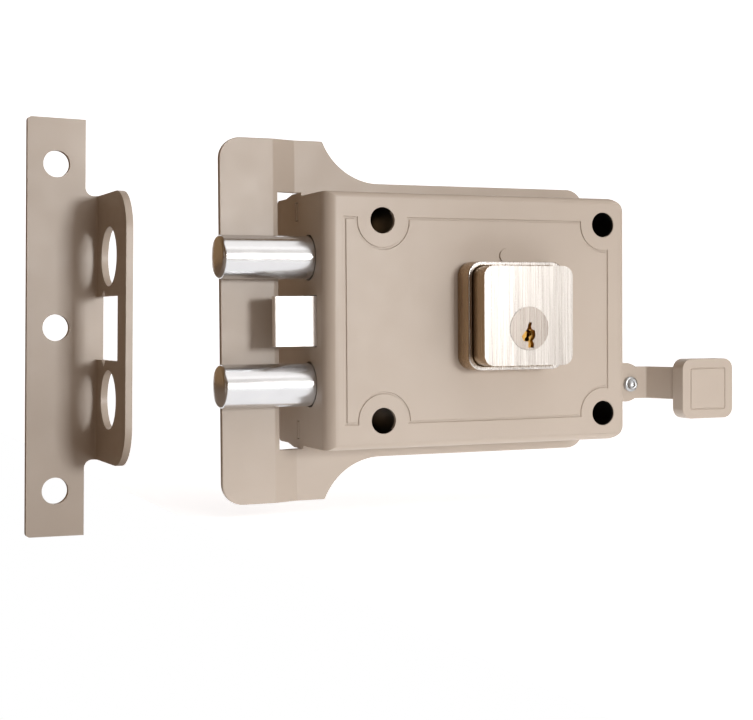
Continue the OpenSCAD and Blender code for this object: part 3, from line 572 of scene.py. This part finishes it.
PIN_WIRE, PIN_TURNS = 0.4 * MM, 5.0
PINS, PIN_PITCH = 5, 3.2 * MM
low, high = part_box("pin_springs")
outer_r = (high.x - low.x) / 2
pin_places = [low.y + outer_r + i * PIN_PITCH for i in range(PINS)]
small_spring = coiled("pin_spring", outer_r - PIN_WIRE / 2, PIN_WIRE * WIRE_DRAWN, PIN_TURNS,
                      high.z - low.z - PIN_WIRE, wire_steel, 20, 8)
pin_springs = set_out("cylinder_pin_springs", small_spring,
                      [(low.x + outer_r, y, low.z + PIN_WIRE / 2) for y in pin_places],
                      wire_steel)
fitted(pin_springs, wire_steel, "spring_steel", "case", "pin_springs")

# Pull arm.
# A 3 mm steel strip with a round end, bent forward in an S and enamelled with the case.
# Its round end is riveted to the pull bar, and its other end carries the knob.

ARM_EDGE = 1.0 * MM
arm = eased("bent_pull_arm", "pull_arm", ARM_EDGE, 4)
fitted(arm, enamel, "beige_paint", "latch", "pull_arm")

# Arm rivet.
# A zinc plated steel rivet through the arm and the pull bar. Its near head is a rolled
# ring with a hollow in the middle, and its far head is a flat disc.

low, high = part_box("arm_rivet")
rivet_head = (high.x - low.x) / 2
rivet_length = high.y - low.y
RIVET_R = 2 * MM
HOLLOW_R, HOLLOW_DEPTH = 1.5 * MM, 0.9 * MM
HEAD_T, FAR_HEAD_T = 1.4 * MM, 1 * MM
ring = [(HEAD_T / 2 * (1 + math.cos(math.radians(a))),
         (rivet_head + HOLLOW_R) / 2 - (rivet_head - HOLLOW_R) / 2 * math.sin(math.radians(a)))
        for a in range(90, 271, 15)]
rivet = turned("rolled_arm_rivet", [
    (HOLLOW_DEPTH, 0), (HOLLOW_DEPTH, HOLLOW_R - 0.35 * MM), *ring,
    (HEAD_T, rivet_head - 0.1 * MM), (HEAD_T, RIVET_R), (rivet_length - FAR_HEAD_T, RIVET_R),
    (rivet_length - FAR_HEAD_T, rivet_head), (rivet_length - 0.4 * MM, rivet_head),
    (rivet_length, rivet_head * 0.7), (rivet_length, 0)],
    (0, 1, 0), ((low.x + high.x) / 2, low.y, (low.z + high.z) / 2))
fitted(settled(rivet), zinc, "zinc", "latch", "arm_rivet")

# Pull knob and its screw.
# A square die-cast pad with rounded edges and a square line in its face, enamelled with
# the case, and held from behind by one screw.

KNOB_EDGE, KNOB_ANGLE = 1.1 * MM, 50
knob = eased("square_pull_knob", "pull_knob", KNOB_EDGE, 4, KNOB_ANGLE)
fitted(knob, enamel, "beige_paint", "latch", "pull_knob")

KNOB_HEAD = [(1.8, 3), (0.9, 3), (0.35, 2.5), (0.05, 1.2), (0, 0)]
low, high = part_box("knob_screw")
knob_screw_x, knob_screw_z = (low.x + high.x) / 2, (low.z + high.z) / 2
knob_screw = turned("knob_fixing_screw", screw_profile(high.y - low.y, 1.5, 0.4, KNOB_HEAD),
                    (0, 1, 0), (knob_screw_x, low.y, knob_screw_z), 40)
recessed(knob_screw, (knob_screw_x, high.y, knob_screw_z), 0.8 * MM, 1.0 * MM, 3.4 * MM)
fitted(knob_screw, zinc, "zinc", "latch", "knob_screw")

# Cylinder collar and block.
# Two square brass castings with rounded corners, nickel plated, their fronts brushed
# upright. Their sides are painted brownish, as a painted reflection of the dim brown
# room. The block sits in the recess of the collar, and its face is left bare.

COLLAR_EDGE, BLOCK_EDGE = 0.6 * MM, 0.7 * MM
# The last two colours paint the sides' reflection of the dim brown room.
nickel = brushed_nickel("brushed_nickel_plate", "#BDB9B5", "#D4D1CE", 0.24, 0.32,
                        ("#A48A6B", "#B39A7C"))
collar = eased("cylinder_square_collar", "cylinder_collar", COLLAR_EDGE, 4)
fitted(collar, nickel, "satin_nickel", "case", "cylinder_collar")
block = eased("cylinder_square_block", "cylinder_block", BLOCK_EDGE, 4)
fitted(block, nickel, "satin_nickel", "case", "cylinder_block")

# Cylinder screws.
# Two zinc plated M4 screws with flat round heads, driven from inside the case. They draw
# the cylinder on to its front.

low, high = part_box("cylinder_screws")
head_r = (high.z - low.z) / 2
CYLINDER_HEAD = [(2.4, head_r / MM), (0.4, head_r / MM), (0, head_r / MM - 0.4), (0, 0)]
cylinder_screw = turned(
    "cylinder_screw", screw_profile(high.y - low.y, 2, 0.4, CYLINDER_HEAD),
    (0, 1, 0), (0, low.y, (low.z + high.z) / 2), 40)
recessed(cylinder_screw, (0, high.y, (low.z + high.z) / 2), 0.9 * MM, 1.2 * MM, 4 * MM)
cylinder_screws = set_out("cylinder_fixing_screws", cylinder_screw,
                          [(low.x + head_r, 0, 0), (high.x - head_r, 0, 0)], zinc)
fitted(cylinder_screws, zinc, "zinc", "case", "cylinder_screws")

# Plug.
# A turned brass plug with a broached keyway. Its face is nickel plated with the block;
# the keyway and the rest of it show the bare brass.

# Nickel over brass: the plating covers only the front 0.6 mm, and behind it the brass is
# yellow, with a drift of tarnish a few millimetres across.
PLATED_MM, PLATING_FADES_MM = 0.6, 0.15
plug_brass, tree, shader, grid = new_finish("nickel_faced_brass", Metallic=1.0)
plated_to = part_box("plug")[0].y / MM + PLATED_MM
brush = mottle(tree, grid, 0.22, 2, (1, 1, 140))
plated, _ = lay_on(tree, shader, (brush, "#A29B95", "#B6AFA9"), (brush, 0.24, 0.34),
                   (brush, 0.006, 0.3))
behind = add(tree, "ShaderNodeSeparateXYZ", {}, {"Vector": grid}).outputs["Y"]
bare = add(tree, "ShaderNodeMapRange", {},
           {"Value": behind, "From Min": plated_to, "From Max": plated_to + PLATING_FADES_MM})
yellow = add(tree, "ShaderNodeMix", {"data_type": "RGBA"},
             {MIX_FACTOR: mottle(tree, grid, 3, 3), MIX_FIRST: linear("#A87C38"),
              MIX_SECOND: linear("#C9A25A")})
shown = add(tree, "ShaderNodeMix", {"data_type": "RGBA"},
            {MIX_FACTOR: bare.outputs["Result"], MIX_FIRST: plated,
             MIX_SECOND: yellow.outputs[MIXED]})
tree.links.new(shown.outputs[MIXED], shader.inputs["Base Color"])

PLUG_EDGE = 0.15 * MM
plug = eased("key_plug", "plug", PLUG_EDGE)
fitted(plug, plug_brass, "nickelled_brass", "key_plug", "plug")

# Drive pinion and its clip.
# A ten-tooth steel pinion pressed on the tail of the plug, which drives the rack. A
# spring clip behind it holds both in the cylinder.

pinion = eased("plug_drive_pinion", "drive_pinion", TOOTH_EDGE)
fitted(pinion, bare_steel, "plain_steel", "key_plug", "drive_pinion")
clip = eased("pinion_spring_clip", "pinion_clip", TOOTH_EDGE)
fitted(clip, zinc, "zinc", "key_plug", "pinion_clip")

# Pins.
# Five brass key pins with pointed tips in the plug, and five steel driver pins above
# them in the block. The key pins are of three lengths.

# Bare turned brass: warm yellow with fine rings from the lathe every quarter millimetre.
brass, tree, shader, grid = new_finish("turned_pin_brass", Metallic=1.0)
lathe = mottle(tree, grid, 0.25, 1, (60, 60, 1))
lay_on(tree, shader, (lathe, "#B58A44", "#CFA964"), (lathe, 0.24, 0.36), (lathe, 0.005, 0.4))

PIN_R, PIN_EDGE = 1.4 * MM, 0.2 * MM
PIN_POINT_R, PIN_POINT = 0.35 * MM, 0.9 * MM
PIN_LENGTHS, PIN_STEP = 3, 0.5 * MM
low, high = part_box("key_pins")
key_pins = []
for i in range(PIN_LENGTHS):
    length = high.z - low.z - PIN_STEP * i
    pin = turned("key_pin", [
        (0, 0), (0, PIN_POINT_R), (PIN_POINT, PIN_R), (length - PIN_EDGE, PIN_R),
        (length, PIN_R - PIN_EDGE), (length, 0)], (0, 0, 1), (0, 0, high.z - length), 32)
    settled(pin)
    spots = [((low.x + high.x) / 2, pin_places[n], 0) for n in range(PINS)
             if n % PIN_LENGTHS == i]
    key_pins.append(set_out(f"key_pins_{i + 1}", pin, spots, brass))
for pin in key_pins:
    fitted(pin, brass, "brass", "key_plug", "key_pins")

low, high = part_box("driver_pins")
length = high.z - low.z
driver = turned("driver_pin", [
    (0, 0), (0, PIN_R - PIN_EDGE), (PIN_EDGE, PIN_R), (length - PIN_EDGE, PIN_R),
    (length, PIN_R - PIN_EDGE), (length, 0)], (0, 0, 1), (0, 0, low.z), 32)
settled(driver)
drivers = set_out("steel_driver_pins", driver,
                  [((low.x + high.x) / 2, y, 0) for y in pin_places], wire_steel)
fitted(drivers, wire_steel, "spring_steel", "case", "driver_pins")

# Strike.
# One piece of 2.4 mm steel, pierced and bent square, and enamelled with the lock. It is a
# loose piece that stands beside the lock.

STRIKE_EDGE, STRIKE_ANGLE = 0.55 * MM, 40
strike = eased("bent_strike_plate", "strike", STRIKE_EDGE, 3, STRIKE_ANGLE)
fitted(strike, enamel, "beige_paint", "case", "strike")

# Studio.
# A white paper sweep under, to the right of and behind the lock. The camera sees plain
# white beyond it. A brown board under it and a dim brown room show in reflections alone,
# and give the metal its brown sides.

SWEEP_FRONT, SWEEP_BACK, SWEEP_LEFT, SWEEP_RIGHT = -0.33, 1.3, -0.12, 2.4
SWEEP_R, SWEEP_TOP, SWEEP_STEPS = 0.35, 1.2, 24
UNDER_LOCK, BOARD_DROP, BOARD_REACH = 0.0015, 0.004, 3.0
floor_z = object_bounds()[0].z - UNDER_LOCK
curve = [math.pi / 2 * i / SWEEP_STEPS for i in range(SWEEP_STEPS + 1)]
outline = [(SWEEP_FRONT, floor_z),
           *((SWEEP_BACK - SWEEP_R + SWEEP_R * math.sin(a),
              floor_z + SWEEP_R - SWEEP_R * math.cos(a)) for a in curve),
           (SWEEP_BACK, SWEEP_TOP)]


def sheet(name, points, faces, material):
    """A smooth surface of the studio, which isn't part of the lock."""
    mesh = bpy.data.meshes.new(name)
    mesh.from_pydata(points, [], faces)
    mesh.polygons.foreach_set("use_smooth", [True] * len(faces))
    mesh.materials.append(material)
    piece = placed(name, mesh)
    return piece


# Matt white paper, lit from behind as well, so that it stays pale up to its edges.
paper, tree, shader, grid = new_finish(
    "white_paper", Roughness=0.95, Emission_Color=linear("#F6FAFF"), Emission_Strength=0.70)
lay_on(tree, shader, (mottle(tree, grid, 5, 2), "#F1F0EE", "#F5F4F2"))
# Pale brown wood board, with a faint drift of colour about 60 mm across.
board, tree, shader, grid = new_finish("pale_brown_board", Roughness=0.7)
lay_on(tree, shader, (mottle(tree, grid, 60, 3), "#A3968A", "#ADA094"))

sheet("paper_sweep", [(x, y, z) for y, z in outline for x in (SWEEP_LEFT, SWEEP_RIGHT)],
      [(2 * i, 2 * i + 1, 2 * i + 3, 2 * i + 2) for i in range(len(outline) - 1)], paper)
table = sheet("table_top", [(x * BOARD_REACH, y * BOARD_REACH, floor_z - BOARD_DROP)
                            for x, y in ((-1, -1), (1, -1), (1, 1), (-1, 1))],
              [(0, 1, 2, 3)], board)
table.visible_camera = False


def soft_box(name, at, aim, width, height, watts, colour):
    """A soft rectangular light at a place, turned to face another, in metres."""
    data = bpy.data.lights.new(name, "AREA")
    data.shape = "RECTANGLE"
    data.size, data.size_y = width, height
    data.energy = watts
    data.color = linear(colour)[:3]
    lamp = placed(name, data)
    lamp.location = at
    lamp.rotation_mode = "QUATERNION"
    lamp.rotation_quaternion = (Vector(aim) - Vector(at)).to_track_quat("-Z", "Y")


# The key is a small level box to the right of the camera. It throws the shadows of the
# latch and of the strike's flange. The panel, the cloth tent and the top box fill them.
soft_box("key_box", (0.25, -1.28, 0.11), (-0.06, 0, 0), 0.20, 0.20, 6.2, "#FFFEFC")
soft_box("front_panel", (0.62, -1.25, 0.36), (0, 0, 0), 1.1, 1.2, 2.4, "#FFFFFE")
soft_box("cloth_tent", (1.15, -1.50, 0.8), (0, 0, 0), 2.0, 2.4, 4.0, "#FFFDFB")
soft_box("top_box", (0.25, -0.55, 1.15), (0, 0, 0), 1.6, 1.2, 6.8, "#FFFFFF")

# The brown room is lighter towards the back wall than at the side and behind the camera.
world = bpy.data.worlds.new("dim_room")
world.use_nodes = True
tree = world.node_tree
looking = add(tree, "ShaderNodeTexCoord").outputs["Generated"]
backward = add(tree, "ShaderNodeSeparateXYZ", {}, {"Vector": looking}).outputs["Y"]
depth = add(tree, "ShaderNodeMapRange", {},
            {"Value": backward, "From Min": 0.1, "From Max": 0.8})
room = add(tree, "ShaderNodeMix", {"data_type": "RGBA"},
           {MIX_FACTOR: depth.outputs["Result"], MIX_FIRST: linear("#62482B"),
            MIX_SECOND: linear("#8C6F50")})
straight = add(tree, "ShaderNodeLightPath").outputs["Is Camera Ray"]
backdrop = add(tree, "ShaderNodeMix", {"data_type": "RGBA"},
               {MIX_FACTOR: straight, MIX_FIRST: room.outputs[MIXED],
                MIX_SECOND: linear("#FFFFFF")})
tree.links.new(backdrop.outputs[MIXED], tree.nodes["Background"].inputs["Color"])
tree.nodes["Background"].inputs["Strength"].default_value = 1.0
bpy.context.scene.world = world

# Camera.
# It stands to the left of the lock, level with its middle, as the photographer's did. Its
# lens, place and turn, in degrees, were fitted to the corners and holes in the photograph.

LENS_MM, SENSOR_MM = 69.98, 36.0
CAMERA_AT = (-0.27155, -0.55797, 0.00145)
YAW, PITCH, ROLL = 22.67, 1.68, -0.38
camera_data = bpy.data.cameras.new("camera")
camera_data.lens, camera_data.sensor_width = LENS_MM, SENSOR_MM
camera_data.clip_start, camera_data.clip_end = 0.02, 10
camera = placed("camera", camera_data)
turn = (Matrix.Rotation(math.radians(-YAW), 4, "Z")
        @ Matrix.Rotation(math.radians(90 - PITCH), 4, "X")
        @ Matrix.Rotation(math.radians(ROLL), 4, "Z"))
camera.matrix_world = Matrix.Translation(CAMERA_AT) @ turn
bpy.context.scene.camera = camera
bpy.context.scene.view_settings.view_transform = "Standard"
bpy.context.scene.view_settings.look = "None"
